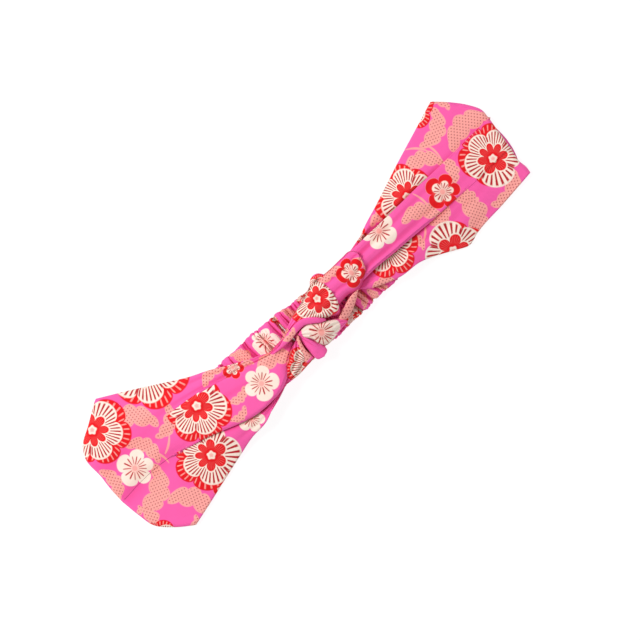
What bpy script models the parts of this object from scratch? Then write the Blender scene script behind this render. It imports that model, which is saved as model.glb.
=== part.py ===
"""Knotted fabric headband, laid flat.

Two printed cloth panels interlock in a knot at the front, and a ruched casing with a flat elastic inside closes the
back. +X is the long axis, +Z is up, and the floor is z = 0.

Each panel is one cloth tube. It leaves the knot as the front panel, turns under at the fold edge, and comes back as
the back panel to the casing, where two rows of stitches join it. The elastic lets the folds move outwards by TRAVEL
and the casing ends by twice that, while the knot stays where it is.
"""

import math

import bmesh
import bpy
from mathutils import Vector

MM = 0.001

# Driving dimensions, in millimetres.
LENGTH = 240.0
WIDTH = 73.0
GAP = 0.3
TRAVEL = 15.0  # how far each fold edge moves outwards at full stretch

CLOTH = 1.4  # two layers of cotton with the air between them
PANEL_THICK = 2.2  # the same two layers, pleated
PLEAT_RISE = 1.4
RIM = 2.6  # how far the rounded fold edge reaches in from the outline
RIM_HEIGHT = 4.2
# The lip's section: how far in from the outline and how high, as shares of RIM and RIM_HEIGHT.
LIP = [(1, 0), (0.35, 0), (0.08, 0.22), (0, 0.5), (0.08, 0.78), (0.35, 0.96), (0.7, 1), (1, 0.93)]

CASING_Y = -5.5
CASING_WIDTH = 28.0
CASING_HEIGHT = 6.5
CASING_END = 52.0
CASING_TAPER = 7.0
CASING_WALL = 1.2
GATHER_PITCH = 6.5
GATHER_DEPTH = 0.7
ELASTIC = (92.0, 20.0, 1.6)

KNOT = Vector((3.0, -7.0, 16.6))
STRAND_RADIUS = 3.6
STRAND_SPREAD = 0.45  # how much wider each strand is where it opens into its panel
LOOP_RADIUS = 8.0
KNOT_FLAT = 0.92  # how much the knot is pressed flat by its own cloth

THREAD = 0.35
STITCH_LENGTH = 2.6

# Plan outlines of the front panels as laid down, from the knot outwards.
RIGHT_UPPER = [(36, 4.5), (56, 11), (80, 18.5), (106, 27.5)]
RIGHT_LOWER = [(38, -19.5), (54, -22), (74, -32), (88, -29), (116.5, -26.5)]
RIGHT_OUTER = [(106, 27.5), (115.5, 18.5), (LENGTH / 2, 8), (117, -21), (116.5, -26.5)]
LEFT_UPPER = [(-27.5, -1), (-40, 4), (-60, 14), (-82, 28), (-95, WIDTH / 2)]
LEFT_LOWER = [(-27.5, -19), (-46, -25), (-70, -28.5), (-103, -WIDTH / 2)]
LEFT_OUTER = [(-95, WIDTH / 2), (-117, 23), (-LENGTH / 2, -7), (-116.5, -25.5), (-103, -WIDTH / 2)]

# The back panels stop short of the fold edge by the travel, so that they can slide into it.
RIGHT_BACK_OUTER = [(88, 19.5), (97, 16), (101, 7), (98.5, -20), (98, -24.5)]
LEFT_BACK_OUTER = [(-80, 22), (-98, 18), (-101, -7), (-98, -22), (-88, -28)]

# The pleated middle of each front panel lies between two lines, given as y at the knot and at the fold.
RIGHT_PLEAT = ((36, 4, -10), (116, 4, -13))
LEFT_PLEAT = ((-28, -4, -15), (-116, 6, -24))

PRINT_PINK = (0.98, 0.13, 0.42, 1.0)
PALE_PINK = (0.98, 0.35, 0.55, 1.0)
ELASTIC_WHITE = (0.85, 0.84, 0.82, 1.0)


def clear_scene():
    for obj in list(bpy.data.objects):
        bpy.data.objects.remove(obj)


def make_material(name, colour, roughness):
    material = bpy.data.materials.new(name)
    material.use_nodes = True
    shader = material.node_tree.nodes["Principled BSDF"]
    shader.inputs["Base Color"].default_value = colour
    shader.inputs["Roughness"].default_value = roughness
    shader.inputs["Metallic"].default_value = 0.0
    return material


def smoothstep(low, high, value):
    t = min(max((value - low) / (high - low), 0.0), 1.0)
    return t * t * (3 - 2 * t)


def along(points, t):
    """The point at the share t of a polyline's length."""
    points = [Vector(p) for p in points]
    lengths = [(b - a).length for a, b in zip(points, points[1:])]
    left = t * sum(lengths)
    for a, b, length in zip(points, points[1:], lengths):
        if left <= length:
            return a.lerp(b, left / length)
        left -= length
    return points[-1]


def inset(points, distance):
    """The polyline moved towards the object's middle by a distance, mitred at its corners."""
    points = [Vector(p) for p in points]
    moved = []
    for i, point in enumerate(points):
        before = point - points[i - 1] if i else points[1] - point
        after = points[i + 1] - point if i + 1 < len(points) else before
        normals = [Vector((-d.y, d.x)).normalized() for d in (before, after)]
        normals = [n if n.dot(-point) > 0 else -n for n in normals]
        mitre = (normals[0] + normals[1]).normalized()
        moved.append(point + mitre * (distance / mitre.dot(normals[0])))
    return moved


def patch_point(inner, outer, upper, lower, u, v):
    """A point of the patch between four edges: u runs out from the knot, v from the upper side down."""
    sides = along(upper, u).lerp(along(lower, u), v)
    ends = along(inner, v).lerp(along(outer, v), u)
    top = along(inner, 0).lerp(along(outer, 0), u)
    bottom = along(inner, 1).lerp(along(outer, 1), u)
    return sides + ends - top.lerp(bottom, v)


class Parts:
    """Makes the named objects and links them to the headband's collection."""

    def __init__(self):
        self.collection = bpy.data.collections.new("knotted_headband")
        bpy.context.scene.collection.children.link(self.collection)
        self.materials = {
            "printed_cotton": make_material("printed_cotton", PRINT_PINK, 0.85),
            "elastic": make_material("elastic", ELASTIC_WHITE, 0.7),
            "thread": make_material("thread", PALE_PINK, 0.6),
        }

    def add(self, name, mesh, material):
        """Turns a bmesh in millimetres into a named object."""
        bmesh.ops.recalc_face_normals(mesh, faces=mesh.faces)
        bmesh.ops.scale(mesh, vec=(MM, MM, MM), verts=mesh.verts)
        data = bpy.data.meshes.new(name)
        mesh.to_mesh(data)
        mesh.free()
        for polygon in data.polygons:
            polygon.use_smooth = True
        data.materials.append(self.materials[material])
        obj = bpy.data.objects.new(name, data)
        self.collection.objects.link(obj)
        return obj


def loft(rings):
    """A closed tube through rings of equally many points, with both ends capped."""
    mesh = bmesh.new()
    rows = [[mesh.verts.new(p) for p in ring] for ring in rings]
    count = len(rows[0])
    for a, b in zip(rows, rows[1:]):
        for i in range(count):
            j = (i + 1) % count
            mesh.faces.new((a[i], a[j], b[j], b[i]))
    for row in (rows[0], rows[-1]):
        mesh.faces.new(row)
    bmesh.ops.triangulate(mesh, faces=[f for f in mesh.faces if len(f.verts) > 4])
    return mesh


def slab(edges, under, over, columns, rows):
    """A closed plate over a four-edged patch, between the heights under(x, y) and over(x, y, u, v)."""
    mesh = bmesh.new()
    low, high = [], []
    for i in range(columns + 1):
        low.append([])
        high.append([])
        for j in range(rows + 1):
            u, v = i / columns, j / rows
            x, y = patch_point(*edges, u, v)
            low[-1].append(mesh.verts.new((x, y, under(x, y))))
            high[-1].append(mesh.verts.new((x, y, over(x, y, u, v))))
    for i in range(columns):
        for j in range(rows):
            for sheet in (low, high):
                mesh.faces.new((sheet[i][j], sheet[i + 1][j], sheet[i + 1][j + 1], sheet[i][j + 1]))
    for i in range(columns):
        for j in (0, rows):
            mesh.faces.new((low[i][j], low[i + 1][j], high[i + 1][j], high[i][j]))
    for j in range(rows):
        for i in (0, columns):
            mesh.faces.new((low[i][j], low[i][j + 1], high[i][j + 1], high[i][j]))
    return mesh


def front_underside(x, y):
    """The height of the front panels' inner face: over the casing by the knot, and low at the fold."""
    reach = abs(x)
    crown = 8.2 - 5.4 * smoothstep(50, 112, reach)
    beside = smoothstep(15, 27, abs(y - CASING_Y))
    return crown + (2.0 - crown) * beside


def pleat_height(lines, x, y):
    """How far the pleated middle stands above the rest of a front panel, fading out towards the fold."""
    (x0, top0, bottom0), (x1, top1, bottom1) = lines
    t = (x - x0) / (x1 - x0)
    top, bottom = top0 + (top1 - top0) * t, bottom0 + (bottom1 - bottom0) * t
    inside = smoothstep(-0.8, 0.8, min(top - y, y - bottom))
    return PLEAT_RISE * inside * (1 - 0.6 * smoothstep(0.6, 1.0, t))


def make_front_panel(parts, side, upper, lower, outer, lines):
    edge = inset(outer, RIM + GAP)
    upper = upper[:-1] + [tuple(edge[0])]
    lower = lower[:-1] + [tuple(edge[-1])]
    inner = [upper[0], lower[0]]

    def over(x, y, u, v):
        rounding = smoothstep(-0.05, 0.12, min(v, 1 - v))
        thick = PANEL_THICK * (0.4 + 0.6 * rounding)
        return front_underside(x, y) + thick + pleat_height(lines, x, y) * rounding

    panel = slab((inner, edge, upper, lower), front_underside, over, 16, 18)
    parts.add(f"{side}_front_panel", panel, "printed_cotton")


def make_fold_edge(parts, side, outer):
    """The cloth where a panel turns from the front to the back: a rounded lip that stands on the floor."""
    corners = [Vector(p) for p in outer]
    inside = inset(outer, RIM)
    sections = []
    for i in range(len(corners) - 1):
        for step in (0, 0.25, 0.5, 0.75, 1)[0 if i == 0 else 1 :]:
            out = corners[i].lerp(corners[i + 1], step)
            into = inside[i].lerp(inside[i + 1], step)
            sections.append([(*out.lerp(into, share), RIM_HEIGHT * height) for share, height in LIP])
    parts.add(f"{side}_fold_edge", loft(sections), "printed_cotton")


def make_back_panel(parts, side, sign, outer):
    start = CASING_END + GAP
    half = CASING_WIDTH / 2 - 1
    inner = [(sign * start, CASING_Y + half), (sign * start, CASING_Y - half)]
    upper = [inner[0], outer[0]]
    lower = [inner[1], outer[-1]]
    edges = (inner, outer, upper, lower)
    mesh = slab(edges, lambda x, y: 0.0, lambda x, y, u, v: CLOTH, 8, 10)
    parts.add(f"{side}_back_panel", mesh, "printed_cotton")


def casing_height(x):
    """The casing's height at a distance from its middle, falling at its end to where the panel starts."""
    return CASING_HEIGHT - (CASING_HEIGHT - 3.0) * smoothstep(CASING_END - CASING_TAPER, CASING_END, abs(x))


def casing_ring(x, half_width, low, high, count):
    """A flat oval across the casing."""
    ring = []
    for k in range(count):
        angle = 2 * math.pi * k / count
        c, s = math.cos(angle), math.sin(angle)
        y = CASING_Y + half_width * math.copysign(abs(c) ** 0.55, c)
        z = (low + high) / 2 + (high - low) / 2 * math.copysign(abs(s) ** 0.8, s)
        ring.append((x, y, z))
    return ring


def make_casing(parts, side, sign):
    """Half of the ruched tube, open in the middle of the headband and closed at the join."""
    count = 20
    pitch = GATHER_PITCH / 4
    start = GAP / 2
    steps = round((CASING_END - start) / pitch)
    inner_end = CASING_END - CASING_TAPER + 2.5
    inner_half = CASING_WIDTH / 2 - 1.9
    hollow = (CASING_WALL, CASING_HEIGHT - CASING_WALL - GATHER_DEPTH)
    mesh = bmesh.new()
    rows = []
    for x in (inner_end, start):
        rows.append([mesh.verts.new(p) for p in casing_ring(sign * x, inner_half, *hollow, count)])
    for i in range(steps + 1):
        x = start + (CASING_END - start) * i / steps
        gather = GATHER_DEPTH * (0.5 - 0.5 * math.cos(2 * math.pi * (x - start) / GATHER_PITCH))
        half = CASING_WIDTH / 2 - gather
        ring = casing_ring(sign * x, half, 0.0, casing_height(x) - gather, count)
        rows.append([mesh.verts.new(p) for p in ring])
    for a, b in zip(rows, rows[1:]):
        for k in range(count):
            j = (k + 1) % count
            mesh.faces.new((a[k], a[j], b[j], b[k]))
    ends = [mesh.faces.new(rows[0]), mesh.faces.new(rows[-1])]
    bmesh.ops.triangulate(mesh, faces=ends)
    parts.add(f"{side}_casing", mesh, "printed_cotton")


def make_elastic(parts):
    mesh = bmesh.new()
    bmesh.ops.create_cube(mesh, size=1.0)
    bmesh.ops.scale(mesh, vec=ELASTIC, verts=mesh.verts)
    middle = (CASING_HEIGHT - GATHER_DEPTH) / 2
    bmesh.ops.translate(mesh, vec=(0, CASING_Y, middle), verts=mesh.verts)
    long_edges = [e for e in mesh.edges if abs(e.verts[0].co.x - e.verts[1].co.x) > 1]
    bmesh.ops.bevel(mesh, geom=long_edges, offset=0.4, segments=2, affect="EDGES")
    parts.add("elastic_band", mesh, "elastic")


def tube(path, radius, sides=8, flat=1.0):
    """A closed tube along a path. flat is its height over its width."""
    rings = []
    for i, point in enumerate(path):
        ahead = path[min(i + 1, len(path) - 1)] - path[max(i - 1, 0)]
        across = ahead.cross(Vector((0, 0, 1)))
        across = (across if across.length > 1e-6 else Vector((0, 1, 0))).normalized()
        normal = across.cross(ahead).normalized()
        ring = []
        for k in range(sides):
            angle = 2 * math.pi * k / sides
            out, up = radius * math.cos(angle), radius * flat * math.sin(angle)
            ring.append(point + across * out + normal * up)
        rings.append(ring)
    return loft(rings)


def make_knot_loop(parts, side, sign, tilt, ends):
    """One strand of the knot: out from its panel, round the other strand, and back beside itself."""
    turn = Vector((0, math.cos(tilt), math.sin(tilt) * KNOT_FLAT))
    centre = KNOT + Vector((sign * (LOOP_RADIUS - STRAND_RADIUS - GAP), 0, 0))
    bend = []
    for k in range(13):
        angle = math.pi * k / 12
        back = Vector((-sign * LOOP_RADIUS * math.sin(angle), 0, 0))
        bend.append(centre + back + turn * LOOP_RADIUS * math.cos(angle))
    first, last = (Vector(e) for e in ends)
    straight = Vector((sign * 2 * STRAND_RADIUS, 0, 0))
    shares = (0, 0.25, 0.5, 0.75, 1)
    out = [first.lerp(bend[0] + straight, t) for t in shares]
    home = [last.lerp(bend[-1] + straight, t) for t in shares[::-1]]
    path = out + bend + home
    rings = []
    normal = turn.cross(Vector((sign, 0, 0))).normalized()
    for i, point in enumerate(path):
        ahead = (path[min(i + 1, len(path) - 1)] - path[max(i - 1, 0)]).normalized()
        across = normal.cross(ahead).normalized()
        up = ahead.cross(across)
        from_end = min(i, len(path) - 1 - i) / (len(shares) - 1)
        radius = STRAND_RADIUS * (1 + STRAND_SPREAD * (1 - smoothstep(0, 1, from_end)))
        ring = []
        for k in range(12):
            angle = 2 * math.pi * k / 12
            ring.append(point + (across * math.cos(angle) + up * math.sin(angle)) * radius)
        rings.append(ring)
    parts.add(f"{side}_knot_loop", loft(rings), "printed_cotton")


def stitch_row(start, end):
    """A sewing thread's line with a small dip at the end of each stitch."""
    start, end = Vector(start), Vector(end)
    steps = round((end - start).length / STITCH_LENGTH) * 2
    path = []
    for i in range(steps + 1):
        dip = 0.12 * (i % 2)
        path.append(start.lerp(end, i / steps) + Vector((0, 0, dip)))
    return path


def make_join(parts, side, sign):
    """Two rows of stitches where the back panel is sewn to the casing, and the elastic's bar tack."""
    height = CLOTH + GAP + THREAD
    half = CASING_WIDTH / 2 - 3
    for name, offset in (("near", 2.0), ("far", 5.0)):
        x = sign * (CASING_END + offset)
        path = stitch_row((x, CASING_Y - half, height), (x, CASING_Y + half, height))
        parts.add(f"{side}_join_stitch_{name}", tube(path, THREAD, 6), "thread")
    x = CASING_END - CASING_TAPER / 2
    path = stitch_row((sign * x, CASING_Y - 8, 0), (sign * x, CASING_Y + 8, 0))
    for point in path:
        point.z += casing_height(x) + GAP + 2 * THREAD
    parts.add(f"{side}_elastic_tack", tube(path, 2 * THREAD, 6, 0.6), "thread")


def make_seams(parts, side, sign, start, end, y):
    """The long seam inside the panel, and the one inside the casing beside the elastic."""
    path = []
    for i in range(9):
        x = start + (end - start) * i / 8
        path.append(Vector((x, y, front_underside(x, y) - GAP - THREAD)))
    parts.add(f"{side}_panel_seam", tube(path, THREAD, 6), "thread")
    beside = CASING_Y - ELASTIC[1] / 2 - 2 * THREAD
    middle = (CASING_HEIGHT - GATHER_DEPTH) / 2
    path = stitch_row((sign * 1.0, beside, middle), (sign * 46.0, beside, middle))
    parts.add(f"{side}_casing_seam", tube(path, THREAD * 0.7, 6), "thread")


def main():
    clear_scene()
    parts = Parts()
    make_elastic(parts)
    make_front_panel(parts, "right", RIGHT_UPPER, RIGHT_LOWER, RIGHT_OUTER, RIGHT_PLEAT)
    make_front_panel(parts, "left", LEFT_UPPER, LEFT_LOWER, LEFT_OUTER, LEFT_PLEAT)
    make_fold_edge(parts, "right", RIGHT_OUTER)
    make_fold_edge(parts, "left", LEFT_OUTER)
    make_back_panel(parts, "right", 1, RIGHT_BACK_OUTER)
    make_back_panel(parts, "left", -1, LEFT_BACK_OUTER)
    make_knot_loop(parts, "right", 1, math.radians(45), ((34.5, -1.5, 12.5), (34.5, -13.5, 12.2)))
    make_knot_loop(parts, "left", -1, math.radians(-45), ((-25.5, -5.5, 12.2), (-25.5, -15, 12.5)))
    for side, sign in (("right", 1), ("left", -1)):
        make_casing(parts, side, sign)
        make_join(parts, side, sign)
    make_seams(parts, "right", 1, 40, 106, -5)
    make_seams(parts, "left", -1, -32, -106, -7)


main()
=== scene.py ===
"""Looks of the knotted headband: printed panels folded flat, a knot of bunched strands, a ruched casing.

Plan positions are millimetres in the frame's own axes: +X along the band to the narrower fan, +Y across it.
"""

import math

import bpy
import numpy as np
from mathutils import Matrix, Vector, noise


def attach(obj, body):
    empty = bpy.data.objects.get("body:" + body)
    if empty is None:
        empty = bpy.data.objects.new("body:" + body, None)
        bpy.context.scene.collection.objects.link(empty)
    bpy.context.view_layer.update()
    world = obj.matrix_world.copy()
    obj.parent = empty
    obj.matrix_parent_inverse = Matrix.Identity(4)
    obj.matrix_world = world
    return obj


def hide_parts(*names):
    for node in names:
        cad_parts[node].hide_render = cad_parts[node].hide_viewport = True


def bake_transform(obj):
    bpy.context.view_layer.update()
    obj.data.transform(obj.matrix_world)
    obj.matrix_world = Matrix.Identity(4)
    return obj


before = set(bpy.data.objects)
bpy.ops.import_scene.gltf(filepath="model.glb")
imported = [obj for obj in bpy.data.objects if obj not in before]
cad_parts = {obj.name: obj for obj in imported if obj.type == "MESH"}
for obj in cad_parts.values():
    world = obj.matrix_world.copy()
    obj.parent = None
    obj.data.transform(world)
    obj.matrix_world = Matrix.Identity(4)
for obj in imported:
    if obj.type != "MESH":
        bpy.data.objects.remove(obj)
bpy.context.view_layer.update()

MM = 0.001
CLOTH_THICK = 0.8  # both layers of a pressed tube
FLOOR_GAP = 0.1
REPEAT = 1.75  # pitch of the printed dots

# Printed colours, linear.
PINK = (0.95, 0.112, 0.40)
RED = (0.80, 0.004, 0.010)
CREAM = (0.97, 0.80, 0.69)
SALMON = (0.98, 0.39, 0.35)
DUSKY = (0.56, 0.13, 0.14)
STROKE = (0.50, 0.012, 0.022)


# ---------------------------------------------------------------- curves and grids


def smoothstep(low, high, value):
    t = np.clip((np.asarray(value, float) - low) / (high - low), 0, 1)
    return t * t * (3 - 2 * t)


def trace(points, shares):
    """Points of a smooth curve through the given points, at shares of its chord length."""
    points = np.asarray(points, float)
    chord = np.linalg.norm(np.diff(points[:, :2], axis=0), axis=1)
    knots = np.concatenate([[0], np.cumsum(chord)]) / chord.sum()
    slopes = np.gradient(points, knots, axis=0)
    shares = np.clip(np.asarray(shares, float), 0, 1)
    i = np.clip(np.searchsorted(knots, shares, side="right") - 1, 0, len(knots) - 2)
    width = (knots[i + 1] - knots[i])[:, None]
    t = (shares - knots[i])[:, None] / width
    return (
        points[i] * (2 * t**3 - 3 * t**2 + 1)
        + slopes[i] * width * (t**3 - 2 * t**2 + t)
        + points[i + 1] * (3 * t**2 - 2 * t**3)
        + slopes[i + 1] * width * (t**3 - t**2)
    )


def ripple(points, scale, seed):
    """Smooth noise from -1 to 1 at each plan point."""
    flat = points.reshape(-1, points.shape[-1])
    values = [noise.noise(Vector((p[0] * scale, p[1] * scale, seed))) for p in flat]
    return np.array(values).reshape(points.shape[:-1])


def grid_piece(name, points, cloth, band, motifs, wrap=False, thick=None, material=None, painted_shade=None):
    """A mesh over a grid of points in millimetres. cloth is each point's place on the printed cloth.

    thick, if given, is each point's share of the cloth's thickness, which is laid on inwards.
    The last argument, if given, is painted shade for each point, from 0 to 1: how deep in a crease the point
    lies, which the cotton material darkens the colour by.
    """
    rows, columns = points.shape[:2]
    index = np.arange(rows * columns).reshape(rows, columns)
    if wrap:
        index = np.concatenate([index, index[:1]], axis=0)
    quads = np.stack([index[:-1, :-1], index[:-1, 1:], index[1:, 1:], index[1:, :-1]], axis=-1).reshape(-1, 4)
    spots = cloth
    if wrap:
        step = cloth[-1] + (cloth[-1] - cloth[-2])
        spots = np.concatenate([cloth, step[None]], axis=0)
    corners = np.stack([spots[:-1, :-1], spots[:-1, 1:], spots[1:, 1:], spots[1:, :-1]], axis=2)
    corners = corners.reshape(-1, 4, 2)
    flat = points.reshape(-1, 3)
    a, b, c, d = (flat[quads[:, k]] for k in range(4))
    low = (*flat[:, :2].mean(axis=0), flat[:, 2].min())
    if (np.cross(c - a, d - b) * ((a + b + c + d) / 4 - low)).sum() < 0:
        quads, corners = quads[:, ::-1], corners[:, ::-1]
    mesh = bpy.data.meshes.new(name)
    mesh.from_pydata((flat * MM).tolist(), [], quads.tolist())
    bands = np.repeat(np.asarray(band), columns - 1)[: len(quads)]
    paint(mesh, corners, bands, motifs)
    # Painted shade for creases, stored on each point; zero where none is given.
    depth = mesh.attributes.new("painted_shade", "FLOAT", "POINT")
    if painted_shade is not None:
        depth.data.foreach_set("value", np.clip(np.broadcast_to(painted_shade, (rows, columns)), 0, 1).reshape(-1))
    for polygon in mesh.polygons:
        polygon.use_smooth = True
    mesh.materials.append(material or cotton)
    piece = bpy.data.objects.new(name, mesh)
    bpy.context.scene.collection.objects.link(piece)
    if thick is not None:
        group = piece.vertex_groups.new(name="thickness")
        for vertex, share in enumerate(thick.reshape(-1).tolist()):
            group.add([vertex], share, "REPLACE")
        solid = piece.modifiers.new("cloth", "SOLIDIFY")
        solid.thickness = CLOTH_THICK * MM
        solid.offset = -1
        solid.use_even_offset = False
        solid.vertex_group = group.name
        solid.thickness_vertex_group = 0.02
        graph = bpy.context.evaluated_depsgraph_get()
        piece.data = bpy.data.meshes.new_from_object(piece.evaluated_get(graph))
        piece.modifiers.clear()
        for vertex in piece.data.vertices:
            vertex.co.z = max(vertex.co.z, FLOOR_GAP * MM)
    return piece


# ---------------------------------------------------------------- the print

LAYERS = ("bloom", "posy", "leaf", "stem")
CURVES = {"leaf": 0.22, "stem": 0.10}  # how much each bends


def paint(mesh, corners, bands, motifs):
    """Stores, for each layer of the print, where each face corner lies in the nearest motif's own axes.

    A bloom or posy is in shares of its radius, and a leaf in millimetres with its length as the third number.
    """
    centres = corners.mean(axis=1)
    count = len(centres)
    for layer in LAYERS:
        best = np.full(count, 1.3)
        local = np.full((count, 4, 3), 9.0)
        local[:, :, 2] = 0.0
        for kind, x, y, angle, size, *rest in motifs:
            if not kind.startswith(layer):
                continue
            c, s = math.cos(math.radians(angle)), math.sin(math.radians(angle))
            turn = np.array([[c, -s], [s, c]])
            middle = (centres - (x, y)) @ turn
            if layer in CURVES:
                run = middle[:, 0] / size
                rise = middle[:, 1] / size - CURVES[layer] * (4 * run**2 - 0.35)
                away = np.hypot(run / 0.56, rise / 0.27)
            else:
                away = np.hypot(middle[:, 0], middle[:, 1]) / size
            if rest:
                away = np.where(np.isin(bands, rest), away, 9.0)
            closer = away < best
            best = np.where(closer, away, best)
            place = (corners[closer] - (x, y)) @ turn
            if layer in CURVES:
                code = size
            else:
                place = place / size
                code = {"bloom": 1.0, "posy": 1.0, "posy_red": 2.0}[kind]
            local[closer, :, :2] = place
            local[closer, :, 2] = code
        attribute = mesh.attributes.new(layer, "FLOAT_VECTOR", "CORNER")
        attribute.data.foreach_set("vector", local.reshape(-1))
    uv = mesh.uv_layers.new(name="cloth")
    uv.data.foreach_set("uv", (corners.reshape(-1, 2) * 0.01).astype(np.float32).reshape(-1))


class Term:
    """A value in a material's node tree. Arithmetic on it adds Math nodes."""

    tree = None

    def __init__(self, socket):
        self.socket = socket

    @classmethod
    def math(cls, operation, *values, clamp=False):
        node = cls.tree.nodes.new("ShaderNodeMath")
        node.operation = operation
        node.use_clamp = clamp
        for slot, value in zip(node.inputs, values):
            if isinstance(value, Term):
                cls.tree.links.new(value.socket, slot)
            else:
                slot.default_value = value
        return cls(node.outputs[0])

    def __add__(self, other):
        return Term.math("ADD", self, other)

    __radd__ = __add__

    def __sub__(self, other):
        return Term.math("SUBTRACT", self, other)

    def __rsub__(self, other):
        return Term.math("SUBTRACT", other, self)

    def __mul__(self, other):
        return Term.math("MULTIPLY", self, other)

    __rmul__ = __mul__

    def __truediv__(self, other):
        return Term.math("DIVIDE", self, other)

    def __pow__(self, other):
        return Term.math("POWER", self, other)


def t_abs(a):
    return Term.math("ABSOLUTE", a)


def t_sin(a):
    return Term.math("SINE", a)


def t_max(a, b):
    return Term.math("MAXIMUM", a, b)


def below(value, limit, soft):
    """1 where value is well under limit, 0 where it is well over, soft in between."""
    return Term.math("MULTIPLY_ADD", limit - value, 1 / soft, 0.5, clamp=True)


def attribute(name):
    node = Term.tree.nodes.new("ShaderNodeAttribute")
    node.attribute_name = name
    split = Term.tree.nodes.new("ShaderNodeSeparateXYZ")
    Term.tree.links.new(node.outputs["Vector"], split.inputs[0])
    return [Term(out) for out in split.outputs]


def polar(x, y):
    return Term.math("SQRT", x * x + y * y), Term.math("ARCTAN2", y, x)


def paint_over(ground, colour, mask):
    """The ground colour with another laid over it where mask is 1. Either colour is a tuple or a socket."""
    mix = Term.tree.nodes.new("ShaderNodeMix")
    mix.data_type = "RGBA"
    Term.tree.links.new(mask.socket, mix.inputs["Factor"])
    for slot, value in (("A", ground), ("B", colour)):
        target = [i for i in mix.inputs if i.name == slot and i.type == "RGBA"][0]
        if isinstance(value, tuple):
            target.default_value = (*value, 1)
        else:
            Term.tree.links.new(value, target)
    return [o for o in mix.outputs if o.type == "RGBA"][0]


def scallop(angle, lobes, phase=0.0, power=0.55):
    """0 in the notch between two petals, 1 at a petal's tip."""
    return t_abs(t_sin(angle * (lobes / 2) + phase)) ** power


def strokes(angle, count, share, soft=0.6):
    """Thin radial lines: 1 on a line. share is how much of the ring the lines fill."""
    wave = t_sin(angle * count) * 0.5 + 0.5
    return below(wave, share, soft)


def stem_layer(ground):
    x, y, length = attribute("stem")
    run = x / t_max(length, 1.0)
    bend = y - length * CURVES["stem"] * (run * run * 4 - 0.35)
    width = t_max(1 - run * run * 4.2, 0.0) * 0.38 + 0.12
    line = below(t_abs(bend), width, 0.3) * below(t_abs(run), 0.485, 0.02) * below(0.5 - length, 0.0, 0.5)
    return paint_over(ground, SALMON, line)


def leaf_layer(ground):
    """Broad lobed leaves with rows of dots."""
    x, y, length = attribute("leaf")
    here = below(0.5 - length, 0.0, 0.5)
    run = x / t_max(length, 1.0)
    here = here * below(t_abs(run), 0.486, 0.01)
    bend = y - length * CURVES["leaf"] * (run * run * 4 - 0.35)
    side = below(bend, 0.0, 0.4)
    ends = t_max(1 - run * run * 4.2, 0.0) ** 0.42
    lobes = t_abs(t_sin(run * 11.5 + side * 0.9 + 0.5)) ** 0.6
    half = length * ends * (0.125 + 0.085 * lobes)
    body = below(t_abs(bend), half, 0.35) * here
    column = x / REPEAT
    dots = None
    for shift in (0.0, 0.5):
        across = (Term.math("FRACT", column + shift) - 0.5) * REPEAT
        up = (Term.math("FRACT", y / (REPEAT * 1.2) + shift) - 0.5) * REPEAT * 1.2
        spot = below(Term.math("SQRT", across * across + up * up), 0.34, 0.2)
        dots = spot if dots is None else t_max(dots, spot)
    inside = below(t_abs(bend), half - 0.5, 0.35)
    colour = paint_over(ground, SALMON, body)
    return paint_over(colour, DUSKY, dots * body * inside * 0.95)


def posy_layer(ground):
    """Small five-petalled flowers: cream, or red with a cream flower on them."""
    x, y, kind = attribute("posy")
    here = below(0.5 - kind, 0.0, 0.5)
    red = below(1.5 - kind, 0.0, 0.5)
    radius, angle = polar(x, y)
    bend = angle + 0.22 * t_sin(angle + 0.9)
    edge = 0.56 + 0.40 * scallop(bend, 5, 0.4, 0.45)
    outer = below(radius, edge, 0.05) * here
    colour = paint_over(ground, CREAM, outer)
    colour = paint_over(colour, RED, outer * red)
    inner = 0.26 + 0.34 * scallop(bend, 5, 0.4, 0.5)
    colour = paint_over(colour, CREAM, below(radius, inner, 0.05) * here * red)
    tone = below(radius, 0.42, 0.35) * here * 0.35
    colour = paint_over(colour, SALMON, tone)
    rays = strokes(bend + 0.25, 15, 0.66 - radius * 0.9, 0.3)
    ring = below(radius, 0.60 - 0.12 * red, 0.06) * below(0.19 - radius, 0.0, 0.05)
    petals = scallop(bend, 5, 0.4, 1.0)
    colour = paint_over(colour, STROKE, rays * ring * here * below(0.42 - petals, 0.0, 0.2))
    return paint_over(colour, SALMON, below(radius, 0.15, 0.08) * here)


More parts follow.
